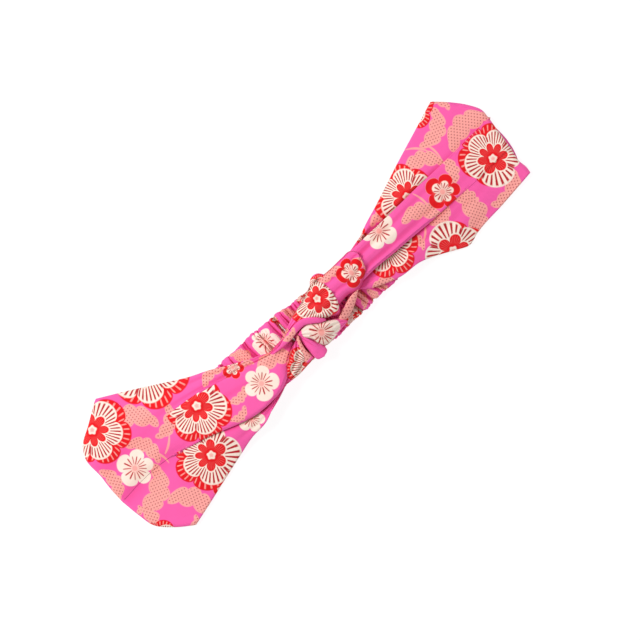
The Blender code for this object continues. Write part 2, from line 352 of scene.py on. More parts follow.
def bloom_layer(ground):
    """Large blossoms: a red fringe behind one side, striped cream petals, a red rosette with a pale eye."""
    x, y, kind = attribute("bloom")
    here = below(0.5 - kind, 0.0, 0.5)
    back_radius, back_angle = polar(x, y - 0.17)
    back = back_angle + 0.3 * t_sin(back_angle - 1.1)
    fringe_edge = 0.76 + 0.24 * scallop(back, 5, 0.35, 0.4)
    fringe = below(back_radius, fringe_edge, 0.03) * here
    colour = paint_over(ground, RED, fringe)
    light = strokes(back, 30, 0.17, 0.25) * below(fringe_edge - 0.22, back_radius, 0.06)
    light = light * below(back_radius, fringe_edge - 0.05, 0.04)
    colour = paint_over(colour, SALMON, light * fringe * 0.85)
    radius, angle = polar(x, y)
    bend = angle + 0.3 * t_sin(angle - 1.1)
    tips = scallop(bend, 5, 0.35, 0.4)
    edge = 0.62 + 0.29 * tips
    petals = below(radius, edge, 0.03) * here
    colour = paint_over(colour, CREAM, petals)
    rays = strokes(bend, 39, 0.28 + radius * 0.16, 0.4) * below(0.40 - radius, 0.0, 0.06)
    notch = below(scallop(bend, 5, 0.35, 1.0), 0.10, 0.06) * below(0.45 - radius, 0.0, 0.1)
    colour = paint_over(colour, STROKE, t_max(rays * below(radius, edge - 0.05, 0.05), notch) * petals)
    inner_edge = 0.25 + 0.24 * scallop(bend, 7, 0.9, 0.55)
    inner = below(radius, inner_edge, 0.03) * here
    colour = paint_over(colour, CREAM, below(radius, inner_edge + 0.045, 0.03) * here)
    colour = paint_over(colour, RED, inner)
    veins = strokes(bend + 0.1, 49, 0.20, 0.4) * below(0.20 - radius, 0.0, 0.05)
    veins = veins * below(radius, inner_edge - 0.05, 0.05)
    colour = paint_over(colour, SALMON, veins * inner * 0.25)
    eye = radius * (1 + 0.12 * t_sin(angle * 5 + 0.6))
    colour = paint_over(colour, RED, below(eye, 0.18, 0.03) * here)
    colour = paint_over(colour, CREAM, below(eye, 0.125, 0.03) * here)
    return paint_over(colour, SALMON, below(eye, 0.06, 0.04) * here * 0.8)


def make_cotton(name):
    """Printed plain-weave cotton, matte, with slubs in the yarn, a faint unevenness in the dye, and painted
    shade in creases.
    """
    material = bpy.data.materials.new(name)
    material.use_nodes = True
    tree = material.node_tree
    Term.tree = tree
    shader = tree.nodes["Principled BSDF"]
    shader.inputs["Sheen Weight"].default_value = 0.06
    shader.inputs["Sheen Roughness"].default_value = 0.6
    shader.inputs["Specular IOR Level"].default_value = 0.18
    uv = tree.nodes.new("ShaderNodeUVMap")
    uv.uv_map = "cloth"

    def cloth_noise(scale, stretch, detail=2.0):
        mapping = tree.nodes.new("ShaderNodeMapping")
        mapping.inputs["Scale"].default_value = (*stretch, 1)
        tree.links.new(uv.outputs[0], mapping.inputs[0])
        texture = tree.nodes.new("ShaderNodeTexNoise")
        texture.inputs["Scale"].default_value = scale
        texture.inputs["Detail"].default_value = detail
        tree.links.new(mapping.outputs[0], texture.inputs["Vector"])
        return Term(texture.outputs["Fac"])

    colour = tree.nodes.new("ShaderNodeRGB")
    colour.outputs[0].default_value = (*PINK, 1)
    colour = bloom_layer(posy_layer(leaf_layer(stem_layer(colour.outputs[0]))))
    # Painted shade: deep in a crease the colour is multiplied by itself, darker and deeper in hue, standing
    # in for the shade there.
    painted_shade = tree.nodes.new("ShaderNodeAttribute")
    painted_shade.attribute_name = "painted_shade"
    painted_shade = Term(painted_shade.outputs["Fac"])
    deep = tree.nodes.new("ShaderNodeMix")
    deep.data_type = "RGBA"
    deep.blend_type = "MULTIPLY"
    tree.links.new(painted_shade.socket, deep.inputs["Factor"])
    for slot in (i for i in deep.inputs if i.type == "RGBA"):
        tree.links.new(colour, slot)
    colour = [o for o in deep.outputs if o.type == "RGBA"][0]
    warp = cloth_noise(260.0, (1.0, 0.12))
    weft = cloth_noise(260.0, (0.12, 1.0))
    dye = cloth_noise(9.0, (1.0, 1.0), 3.0)
    tint = tree.nodes.new("ShaderNodeHueSaturation")
    tree.links.new(colour, tint.inputs["Color"])
    # The painted shade in creases also takes up to 0.4 off the value.
    value = (0.90 + 0.10 * (warp + weft) + 0.06 * (dye - 0.5)) * (1 - 0.4 * painted_shade)
    tree.links.new(value.socket, tint.inputs["Value"])
    tree.links.new(tint.outputs[0], shader.inputs["Base Color"])
    tree.links.new((0.78 + 0.2 * (warp - 0.5) + 0.1 * dye).socket, shader.inputs["Roughness"])

    split = tree.nodes.new("ShaderNodeSeparateXYZ")
    tree.links.new(uv.outputs[0], split.inputs[0])
    across, up = (Term(o) * (2 * math.pi / 0.0045) for o in split.outputs[:2])
    weave = t_sin(across) * t_sin(up)
    height = 0.3 * weave + 0.6 * (warp + weft) + 0.5 * dye
    bump = tree.nodes.new("ShaderNodeBump")
    bump.inputs["Strength"].default_value = 0.35
    bump.inputs["Distance"].default_value = 0.12 * MM
    tree.links.new(height.socket, bump.inputs["Height"])
    tree.links.new(bump.outputs[0], shader.inputs["Normal"])
    return material


def make_plain(name, colour, rib, sheen):
    """Ribbed elastic or twisted thread: fine ribs, in millimetres, along the piece's length."""
    material = bpy.data.materials.new(name)
    material.use_nodes = True
    tree = material.node_tree
    Term.tree = tree
    shader = tree.nodes["Principled BSDF"]
    shader.inputs["Sheen Weight"].default_value = sheen
    shader.inputs["Specular IOR Level"].default_value = 0.25
    place = tree.nodes.new("ShaderNodeTexCoord")
    split = tree.nodes.new("ShaderNodeSeparateXYZ")
    tree.links.new(place.outputs["Object"], split.inputs[0])
    x, y = (Term(o) * (1000 * 2 * math.pi / rib) for o in split.outputs[:2])
    yarn = 0.5 + 0.3 * t_sin(y) + 0.2 * t_sin(x * 0.7 + y * 0.4)
    speckle = tree.nodes.new("ShaderNodeTexNoise")
    speckle.inputs["Scale"].default_value = 900.0
    tree.links.new(place.outputs["Object"], speckle.inputs["Vector"])
    lit = yarn * 0.8 + Term(speckle.outputs["Fac"]) * 0.3
    shade = paint_over(tuple(0.7 * c for c in colour), colour, lit)
    tree.links.new(shade, shader.inputs["Base Color"])
    tree.links.new((0.75 + 0.15 * yarn).socket, shader.inputs["Roughness"])
    bump = tree.nodes.new("ShaderNodeBump")
    bump.inputs["Strength"].default_value = 0.4
    bump.inputs["Distance"].default_value = 0.1 * MM
    tree.links.new(yarn.socket, bump.inputs["Height"])
    tree.links.new(bump.outputs[0], shader.inputs["Normal"])
    return material


cotton = make_cotton("printed_cotton")
webbing = make_plain("woven_elastic", (0.82, 0.81, 0.78), 1.2, 0.1)
thread = make_plain("sewing_thread", (0.93, 0.26, 0.50), 0.3, 0.2)


# ---------------------------------------------------------------- fans

LIP = 2.0  # radius of the turned fold at a fan's end
TURNED = 9.0  # how far the cloth goes on under the fold
FOLD_LOW = 0.3
FOLD_TOP = 4.4  # heights along the fan's middle: at the fold, and how much more at the knot
KNOT_RISE = 8.8
SIDE_TOP = 2.9  # the same along its side edges
SIDE_RISE = 5.6
CROWN = 0.9
VALLEY = 0.55
SIDE_ROLL = 0.9
# A pleat's edge in section: how far out over the lower cloth, and how high between the two cloths.
PLEAT_SECTION = [(-1.6, 0.0), (0.2, 0.08), (0.7, 0.3), (0.8, 0.62), (0.5, 0.9), (-0.25, 1.0)]


class Fan:
    """The front of a panel: bands of cloth between guide lines that run from the knot to the fold.

    guides and outer are plan lines. steps says, for each inner guide, which neighbour lies on top ("above" is
    the band with the lower number, towards +Y), and how deep the pleat is at the knot and at the fold. valley
    says how far the pleat goes on as a soft dip in the cloth, which is also darkened with painted shade.
    w counts guides from +Y, with parts of a band between.
    """

    def __init__(self, sign, guides, outer, steps, valley, seed):
        self.sign, self.guides, self.outer, self.steps, self.seed = sign, guides, outer, steps, seed
        self.valley = valley
        self.columns = 170
        self.u = np.linspace(0, 1, self.columns)

    def outline(self, w):
        """The fold's plan point and outward direction at w, which counts guides."""
        bands = len(self.guides) - 1
        k = min(int(w), bands - 1)
        part = np.array(self.outer[k])
        point = trace(part, [w - k])[0]
        ahead = trace(part, [min(w - k + 0.02, 1)])[0] - trace(part, [max(w - k - 0.02, 0)])[0]
        out = np.array([ahead[1], -ahead[0]]) / (np.linalg.norm(ahead) + 1e-9)
        return point, out if out[0] * self.sign > 0 else -out

    def lip(self, w):
        """How far the fold reaches past the last row at w. At a corner it follows the side edge."""
        bands = len(self.guides) - 1
        out = self.outline(w)[1]
        guide = self.guides[0] if w < bands / 2 else self.guides[-1]
        side = np.subtract(guide[-1], guide[-2])
        side = side / np.linalg.norm(side)
        side *= LIP / max(float(side @ out), 0.5)
        share = float(smoothstep(0.0, 0.15, min(w, bands - w)))
        return side * (1 - share) + out * LIP * share

    def line(self, w):
        """The plan points of the cloth's run from knot to fold at w."""
        bands = len(self.guides) - 1
        k = min(int(w), bands - 1)
        t = w - k
        a, b = (trace(self.guides[i], self.u) for i in (k, k + 1))
        points = a * (1 - t) + b * t
        miss = self.outline(w)[0] - self.lip(w) - points[-1]
        return points + miss * (self.u[:, None] ** 6)

    def width(self, band):
        """How wide a band is, along its run."""
        return np.linalg.norm(trace(self.guides[band], self.u) - trace(self.guides[band + 1], self.u), axis=1)

    def step(self, k):
        """How deep the pleat at inner guide k is, along its run."""
        near, far = self.steps[k - 1][1:]
        return near + (far - near) * smoothstep(0.1, 0.8, self.u)

    def level(self, band, w, points):
        """The height of one band's cloth at plan points."""
        reach = np.abs(points[:, 0])
        middle = FOLD_TOP + KNOT_RISE * (1 - smoothstep(27, 116, reach)) ** 1.05
        side = SIDE_TOP + SIDE_RISE * (1 - smoothstep(44, 70, reach))
        bands = len(self.guides) - 1
        slope = 0.0
        if band == 0:
            slope = (1 - w) ** 1.5
        if band == bands - 1:
            slope = (w - band) ** 1.5
        height = middle.copy()
        t = w - band
        width = self.width(band)
        for k, (top, *_) in enumerate(self.steps, start=1):
            lower = band >= k if top == "above" else band < k
            away = width * (t if top == "above" else 1 - t)
            dip = 0.5 * np.exp(-away / 4.0) * (band == (k if top == "above" else k - 1))
            height = height - self.step(k) * (lower + dip)
            beside = width * abs(w - k) if abs(w - k) < 1 else 99.0
            valley = VALLEY * np.exp(-((beside / 3.2) ** 2)) * smoothstep(0.45, 0.9, self.u)
            height = height - valley * self.valley[k - 1]
        height = height - 3.0 * (1 - smoothstep(14, 29, reach))
        height = height + (side - height) * slope * (1 - smoothstep(95, 118, reach) * 0.6)
        round_off = 0.7 + 0.6 * smoothstep(0.3, 0.8, self.u)
        crown = CROWN * np.sin(math.pi * np.clip(t, 0, 1)) ** round_off
        crown = crown * (1 - 0.75 * smoothstep(0.3, 1.0, self.u))
        pull = 0.5 * self.pull(w) * (1 - self.u) ** 1.4
        slack = 0.55 * ripple(points, 0.055, self.seed) + 0.22 * ripple(points, 0.16, self.seed + 5)
        return height + crown + pull + slack * smoothstep(0.0, 0.2, self.u)

    def painted_shade(self, band, w):
        """How deep in a crease the cloth of one band is along its run at w, as painted shade: darker in the
        troughs of the small folds from the knot, in a pleat's soft valley, and on the lower cloth beside a
        pleat.
        """
        t = w - band
        width = self.width(band)
        depth = 0.5 * smoothstep(0.3, 1.5, -self.pull(w)) * (1 - self.u) ** 1.4
        for k, (top, *_) in enumerate(self.steps, start=1):
            beside = width * abs(w - k) if abs(w - k) < 1 else 99.0
            valley = 0.16 * np.exp(-((beside / 3.6) ** 2)) * smoothstep(0.5, 0.9, self.u)
            depth = depth + valley * self.valley[k - 1]
            if band != (k if top == "above" else k - 1):
                continue
            away = width * (t if top == "above" else 1 - t)
            # Painted shade on the lower cloth next to a pleat, where the upper cloth would shade it.
            depth = np.maximum(depth, np.exp(-((away / 1.9) ** 2)) * np.clip(self.step(k) / 1.8, 0, 1))
        return depth

    def pull(self, w):
        """The small folds that run out from the knot, as a wave over w."""
        wave = np.sin(2 * math.pi * (1.7 * w + 0.2 * self.seed + 0.4 * self.u))
        return wave + 0.5 * np.sin(4.1 * math.pi * w + 1)

    def rows(self):
        """Each row as points, its cloth places, and its band."""
        bands = len(self.guides) - 1
        made = []

        def add(points, heights, cloth, band, w):
            made.append((np.column_stack([points, heights]), cloth, band, w))

        def side_roll(w, order):
            points = self.line(w)
            ahead = np.gradient(trace(self.guides[0 if w == 0 else -1], self.u), axis=0)
            out = np.column_stack([ahead[:, 1], -ahead[:, 0]])
            out /= np.linalg.norm(out, axis=1)[:, None]
            out *= np.sign(out[:, 1] * (1 if w == 0 else -1))[:, None]
            base = self.level(0 if w == 0 else bands - 1, w, points)
            for angle in order:
                a = math.radians(angle)
                shift = out * (math.cos(a) - 1) * SIDE_ROLL
                arc = SIDE_ROLL * (math.pi / 2 - a)
                add(points + shift, base + SIDE_ROLL * (math.sin(a) - 1), points + out * (arc - SIDE_ROLL),
                    0 if w == 0 else bands - 1, w)

        side_roll(0.0, (-100, -60, -20, 20, 60))
        for band in range(bands):
            count = 46 if band else 40
            for j in range(count):
                t = (j + 0.5) / count
                w = band + t * (0.985 if band < bands - 1 else 1.0) + (0.008 if band else 0.02 * (1 - t))
                if band == bands - 1:
                    w -= 0.02 * t
                points = self.line(w)
                add(points, self.level(band, w, points), points, band, w)
            if band < bands - 1:
                k = band + 1
                top = self.steps[band][0]
                over, under = (band, k) if top == "above" else (k, band)
                points = self.line(float(k))
                ahead = np.gradient(points, axis=0)
                up = np.column_stack([-ahead[:, 1], ahead[:, 0]]) / np.linalg.norm(ahead, axis=1)[:, None]
                up *= np.sign(up[:, 1])[:, None]
                towards = -up if top == "above" else up
                fade = np.clip(self.step(k) / 1.5, 0, 1)[:, None]
                low = self.level(under, float(k), points)
                high = self.level(over, float(k), points)
                spread = np.linspace(0.25, -0.25, len(PLEAT_SECTION))
                section = [(*p, flat) for p, flat in zip(PLEAT_SECTION, spread)]
                for out, share, flat in section[::-1] if top == "above" else section:
                    shifted = points + towards * (out * fade + flat * (1 - fade))
                    own = over if share > 0.3 else under
                    add(shifted, low + (high - low) * share, shifted, own, float(k))
        side_roll(float(bands), (60, 20, -20, -60, -100))
        return made

    def build(self, name, motifs):
        made = self.rows()
        points = np.stack([m[0] for m in made])
        cloth = np.stack([m[1] for m in made])
        band = [m[2] for m in made]
        end = points[:, -1]
        lip = np.array([self.lip(m[3]) for m in made])
        out = np.array([self.outline(m[3])[1] for m in made])
        turned, turned_cloth = [], []
        last = cloth[:, -1]
        half = (end[:, 2] - FOLD_LOW) / 2
        for angle in (60, 35, 10, -15, -40, -65, -88):
            a = math.radians(angle)
            plan = end[:, :2] + lip * math.cos(a)
            turned.append(np.column_stack([plan, FOLD_LOW + half + half * math.sin(a)]))
            turned_cloth.append(last + out * LIP * (math.pi / 2 - a))
        plan = (end[:, :2] - out * TURNED) * (1, 0.96)
        turned.append(np.column_stack([plan, np.full(len(end), FOLD_LOW + 0.15)]))
        turned_cloth.append(last + out * (LIP * math.pi + TURNED))
        points = np.concatenate([points, np.stack(turned, axis=1)], axis=1)
        cloth = np.concatenate([cloth, np.stack(turned_cloth, axis=1)], axis=1)
        # Painted shade in creases for the rows over the front; the turned-under flap gets none.
        painted_shade = np.zeros(points.shape[:2])
        painted_shade[:, : self.columns] = [self.painted_shade(m[2], m[3]) for m in made]
        thick = np.ones(points.shape[:2])
        from_side = np.minimum(np.arange(len(made)), np.arange(len(made))[::-1])
        past_end = np.arange(points.shape[1]) - self.columns
        thin = np.outer(1 - smoothstep(5, 14, from_side), smoothstep(-8, 0, past_end))
        return grid_piece(name, points, cloth, band[:-1], motifs, thick=thick - thin, painted_shade=painted_shade)


RIGHT_GUIDES = [
    [(30, 2.6), (37, 4.2), (43, 6.9), (56, 11.2), (76, 18.1), (92, 23.2), (104.5, 27.2)],
    [(22, 2.6), (34, 3.1), (58, 3.0), (80, 3.3), (95, 3.6), (118, 3.8)],
    [(20, -8.4), (28, -8.6), (34, -8.5), (45, -9.3), (57, -10.0), (70, -11.0), (90, -12.3), (115.5, -13)],
    [
        (24, -11), (26.5, -13.6), (31, -16.0), (36, -18.2), (41, -19.9), (52, -21.4), (61, -25.2),
        (68, -28.9), (73.5, -31.4), (80, -29.9), (98, -28.5), (114, -27.0),
    ],
]
RIGHT_OUTER = [
    [(106.0, 27.7), (112, 21.4), (117, 14.9), (120, 8.6), (119.7, 3.6)],
    [(119.7, 3.6), (118.4, -5), (117.3, -13)],
    [(117.3, -13), (116.1, -19.5), (116.6, -24), (116.2, -26.9)],
]
LEFT_GUIDES = [
    [
        (-18, -3.6), (-24, -3.6), (-29, -1.4), (-36, 2.0), (-43, 5.7), (-50, 9.7), (-59, 14.0),
        (-71, 21.2), (-83, 28.5), (-95, 35.4),
    ],
    [(-16, -4.6), (-25, -4.4), (-39, -0.4), (-52, 3.6), (-65, 6.6), (-80, 8.2), (-98, 9), (-118, 9)],
    [
        (-14, -8), (-22, -12), (-28, -16.6), (-33, -18.6), (-40, -19.2), (-48, -18.7), (-57, -16.2),
        (-63, -13.9), (-70, -11.5), (-80, -8.9), (-92, -6.3), (-106, -5.4), (-118, -6),
    ],
    [
        (-22, -16.5), (-30, -18.8), (-40, -22.0), (-48, -25.0), (-57, -25.6), (-67, -27.8),
        (-80, -30.9), (-92, -33.9), (-101.5, -36.1),
    ],
]
LEFT_OUTER = [
    [(-96.5, 36.3), (-107, 29.9), (-115.5, 24.6), (-118.2, 20.5), (-119, 9)],
    [(-119, 9), (-119.7, 2), (-120, -6)],
    [(-120, -6), (-118.8, -15), (-117.2, -23), (-111, -30.4), (-103.4, -36.5)],
]

# Motifs of the print: kind, place, turn, size, and the bands that show it where a pleat cuts it off.
RIGHT_PRINT = [
    ("bloom", 68, 4, 20, 14.2, 0),
    ("bloom", 108, -10.5, 0, 14.5, 1, 2),
    ("bloom", 46, -4.0, 180, 14.0, 2),
    ("bloom", 66.5, -28, 190, 15.0, 2),
    ("bloom", 97, 34, 180, 11.0, 0),
    ("posy", 48, 1.6, 200, 8.6, 1),
    ("posy_red", 81, -5.5, 15, 8.6, 1),
    ("posy_red", 40, 6.5, 0, 4.6, 0),
    ("leaf", 98, 17.5, 28, 20),
    ("leaf", 84, 10.5, 150, 19, 0),
    ("leaf", 109, 8, 178, 25, 0),
    ("leaf", 53, 5.5, 160, 12, 0),
    ("leaf", 108, 26, 120, 14, 0),
    ("leaf", 67, -5.8, 145, 19, 1),
    ("leaf", 90, -1.5, 60, 15, 1),
    ("leaf", 84, -22, 70, 26, 2),
    ("leaf", 103, -26, 15, 20, 2),
    ("stem", 91, 11, 95, 13, 0),
    ("stem", 86.5, 16, 130, 12, 0),
    ("stem", 71.5, -2.5, 92, 12, 1),
    ("stem", 62, -13.5, 40, 9, 2),
    ("leaf", 33, -17.5, 155, 14, 2),
    ("leaf", 73, -13.2, 5, 13, 2),
    ("leaf", 57.5, -13.5, 100, 10, 2),
    ("leaf", 87.5, -16, 95, 14, 2),
]
LEFT_PRINT = [
    ("bloom", -107, 27, 215, 15.5),
    ("bloom", -65, 2.0, 160, 15.0, 1),
    ("bloom", -76, -18.5, 75, 15.0, 2),
    ("bloom", -70.5, 31.5, 206, 18.5, 0),
    ("bloom", -120, -33, 0, 10.5),
    ("posy", -105, 1.2, 20, 9.0),
    ("posy", -37, -11.0, 150, 8.4),
    ("posy", -51.5, -19.0, 0, 6.6, 2),
    ("posy_red", -41.5, 3.0, 0, 5.4),
    ("posy_red", -82, -32.2, 0, 5.5),
    ("leaf", -91, 18, 145, 25),
    ("leaf", -117, 3, 75, 17),
    ("leaf", -95.5, 4.5, 110, 18),
    ("leaf", -106, -12.5, 28, 25),
    ("leaf", -97, -27.5, 115, 24),
    ("leaf", -50, 7.5, 178, 14),
    ("leaf", -80, 5.8, 28, 17),
    ("leaf", -48.5, -8.2, 0, 11),
    ("leaf", -54, -14.4, 0, 10),
    ("leaf", -26, -7.6, 160, 20),
    ("leaf", -36, 0.0, 160, 7),
    ("leaf", -104, -36, 20, 10),
    ("leaf", -116, -20, 70, 16),
    ("stem", -87, -1.5, 32, 12),
    ("stem", -92.5, -3.5, 100, 9),
]


def make_fans():
    right = Fan(1, RIGHT_GUIDES, RIGHT_OUTER, [("below", 4.2, 0.3), ("above", 3.2, 0.1)], (0.0, 0.4), 3)
    left = Fan(-1, LEFT_GUIDES, LEFT_OUTER, [("below", 0.4, 0.0), ("above", 3.8, 0.0)], (1.0, 1.3), 11)
    pieces = []
    for side, sign, fan, motifs in (("right", 1, right, RIGHT_PRINT), ("left", -1, left, LEFT_PRINT)):
        piece = fan.build(f"{side}_front_cloth", motifs)
        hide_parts(f"{side}_front_panel", f"{side}_fold_edge")
        pieces.append((piece, sign, side))
    return pieces


# ---------------------------------------------------------------- back panels and casing

BACK_TOP = 1.3
UNDERSIDE = 80.0
CASING_Y = -5.5
CASING_HALF = 14.0
CASING_END = 52.0
CASING_DRIFT = 2.3  # the casing lies this much lower on its right
CASING_NARROWS = 1.9  # and it is this much narrower there, on each side
ELASTIC = (92.0, 20.0, 1.6)
ELASTIC_Z = 2.9
GATHER = 1.7  # length of cloth gathered into each length of casing

RIGHT_BACK = [
    (52, 7.5), (62, 9.5), (80, 15), (98, 21.5), (110, 19.5), (117, 8), (115.5, -20), (112, -25),
    (92, -26), (70, -24.5), (52, -18.5),
]
LEFT_BACK = [
    (-52, 7.5), (-66, 14.5), (-84, 25.5), (-97, 32.5), (-113, 22), (-117, -4), (-114.5, -22),
    (-103, -33), (-84, -29), (-64, -24), (-52, -18.5),
]


def make_back(side, sign, outline, motifs):
    """The back of a panel: two layers lying on the floor, drawn in to the casing with small pleats."""
    count, rings = 150, 40
    rim = trace(outline, np.linspace(0, 1, count))
    seam = np.column_stack([np.full(count, sign * CASING_END), np.linspace(7.5, -18.5, count)])
    shares = np.linspace(0, 1, rings)
    plan = seam[None] * (1 - shares[:, None, None]) + rim[None] * shares[:, None, None]
    drawn = (1 - smoothstep(0.0, 0.45, shares))[:, None]
    across = np.linspace(0, 1, count)[None]
    pleats = 0.75 * np.abs(np.sin(math.pi * 7 * across + 1.2 * np.sin(9 * across))) * drawn
    heights = BACK_TOP + 0.5 + pleats + 0.25 * ripple(plan, 0.09, 31 + sign)
    top = np.concatenate([plan, heights[..., None]], axis=2)
    low = np.concatenate([plan, np.full(heights.shape + (1,), 0.12)], axis=2)
    low[..., 2] += 0.35 * pleats
    middle = np.concatenate([rim, np.full((count, 1), (BACK_TOP + 0.6) / 2)], axis=1)[None]
    points = np.concatenate([top, middle, low[::-1]], axis=0)
    flip = plan * (1, -1)
    cloth = np.concatenate([plan, rim[None], flip[::-1] + (0, UNDERSIDE)], axis=0)
    piece = grid_piece(f"{side}_back_cloth", points, cloth, np.zeros(len(points)), motifs, wrap=True)
    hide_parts(f"{side}_back_panel")
    return piece


def back_print(sign):
    """Motifs on the back panel's underside, whose cloth places are turned over and moved by UNDERSIDE."""
    return [
        ("bloom", sign * 98, 86, 30, 14.5),
        ("bloom", sign * 68, 96, 120, 13.5),
        ("bloom", sign * 84, 62, 260, 14.0),
        ("posy", sign * 80, 80, 10, 8.0),
        ("posy_red", sign * 108, 68, 40, 7.5),
        ("posy", sign * 60, 78, 60, 7.0),
        ("leaf", sign * 66, 82, 100, 20),
        ("leaf", sign * 88, 100, 20, 22),
        ("leaf", sign * 112, 96, 80, 18),
        ("leaf", sign * 98, 68, 140, 16),
    ]


def gathers(x):
    """Depth from 0 at a crest to 1 in the crease between two gathers, uneven along the casing."""
    phase = x / 6.1 + 0.55 * np.sin(x * 0.31 + 0.8) + 0.3 * np.sin(x * 0.83)
    depth = 1 - np.abs(np.sin(math.pi * phase)) ** 0.5
    for middle in (-43.5, -30.3, -12.2, -2.6, 18.0, 24.5, 30.0):
        depth = depth + 0.75 * np.exp(-(((x - middle) / 0.8) ** 2))
    return np.minimum(depth, 1.25)


def make_casing(side, sign, motifs):
    """Half of the ruched tube over the elastic."""
    count, columns = 72, 330
    x = sign * np.linspace(-0.4, CASING_END + 1.5, columns)
    angle = 2 * math.pi * np.arange(count) / count
    c, s = np.cos(angle)[:, None], np.sin(angle)[:, None]
    lean = 1.4 * np.sin(angle + 0.6)[:, None]
    crease = gathers(x[None] + lean)
    small = gathers(x[None] * 2.3 + 7 + 2.2 * s) * 0.3
    deep = (0.75 + 0.25 * np.sin(3 * angle[:, None] + x[None] * 0.2)) * (crease + small)
    drift = smoothstep(-30, 20, x)[None]
    half = CASING_HALF - CASING_NARROWS * drift - 1.0 * deep + 0.3 * np.sin(x * 0.4)[None]
    top = 6.8 - 3.6 * smoothstep(44, 53, np.abs(x))[None]
    y = CASING_Y - CASING_DRIFT * drift + half * np.sign(c) * np.abs(c) ** 0.55
    bulge = np.where(s > 0, 2.8, 0.8) * deep * np.abs(s) * (1 - 0.4 * smoothstep(44, 53, np.abs(x))[None])
    z = top / 2 + np.sign(s) * (np.abs(s) ** 0.75 * top / 2 - bulge)
    z = np.maximum(z, FLOOR_GAP)
    points = np.stack([np.broadcast_to(x[None], y.shape), y, z], axis=2)
    girth = (angle[:, None] / (2 * math.pi)) * 2.2 * (2 * CASING_HALF)
    fine = np.linspace(0, 1.1 * CASING_END, 2000) * sign
    density = 1 + 4 * gathers(fine) ** 3
    drawn = np.cumsum(density) * (fine[1] - fine[0])
    drawn *= GATHER * fine[-1] / drawn[-1]
    run = np.interp(sign * x, sign * fine, drawn)
    cloth = np.stack([np.broadcast_to(run[None], y.shape), np.broadcast_to(14 - girth, y.shape)], axis=2)
    # Painted shade in the creases between gathers, darkening the colour there.
    painted_shade = 0.95 * smoothstep(0.3, 0.95, crease + 0.5 * small)
    band = np.zeros(count)
    piece = grid_piece(f"{side}_casing_cloth", points, cloth, band, motifs, wrap=True, painted_shade=painted_shade)
    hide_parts(f"{side}_casing")
    return piece


def make_elastic(side, sign):
    """Half of the ribbed elastic, up to the middle of the casing, whose centre line it follows."""
    count, columns = 56, 60
    x = sign * np.linspace(0, ELASTIC[0] / 2, columns)
    angle = 2 * math.pi * np.arange(count) / count
    c, s = np.cos(angle)[:, None], np.sin(angle)[:, None]
    half, rise = ELASTIC[1] / 2, ELASTIC[2] / 2
    across = np.sign(c) * np.abs(c) ** 0.35 * half * (1 - 0.02 * np.sin(x * 5)[None])
    rib = 0.12 * np.sin(2 * math.pi * across / 1.6)
    z = ELASTIC_Z + np.sign(s) * (np.abs(s) ** 0.3 * rise + rib * np.abs(s))
    y = CASING_Y - CASING_DRIFT * smoothstep(-30, 20, x)[None] + across
    points = np.stack([np.broadcast_to(x[None], y.shape), y, np.broadcast_to(z, y.shape)], axis=2)
    band = np.zeros(count)
    piece = grid_piece(f"{side}_elastic", points, points[..., :2], band, [], wrap=True, material=webbing)
    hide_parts("elastic_band")
    return piece


CASING_PRINT = [
    ("posy", -42, 1.5, 90, 8.0),
    ("posy_red", -27, 9.0, 20, 5.5),
    ("bloom", 8, 10, 200, 9.0),
    ("leaf", -30, 1, 60, 10),
    ("leaf", -12, 4, 90, 17),
    ("leaf", -61, 3, 95, 19),
    ("bloom", 24, -12, 30, 8.5),
    ("leaf", 38, -5, 80, 14),
    ("leaf", 46, -12, 60, 16),
    ("leaf", 57, -10, 120, 14),
    ("posy", 75, -4, 0, 8),
    ("bloom", -72, -14, 40, 12.5),
    ("leaf", -30, -20, 60, 18),
    ("bloom", -20, -34, 0, 13),
    ("leaf", 20, -36, 30, 20),
    ("posy_red", 50, -34, 0, 7),
    ("bloom", 74, -30, 60, 12),
    ("leaf", -60, -36, 150, 20),
]


# ---------------------------------------------------------------- the knot


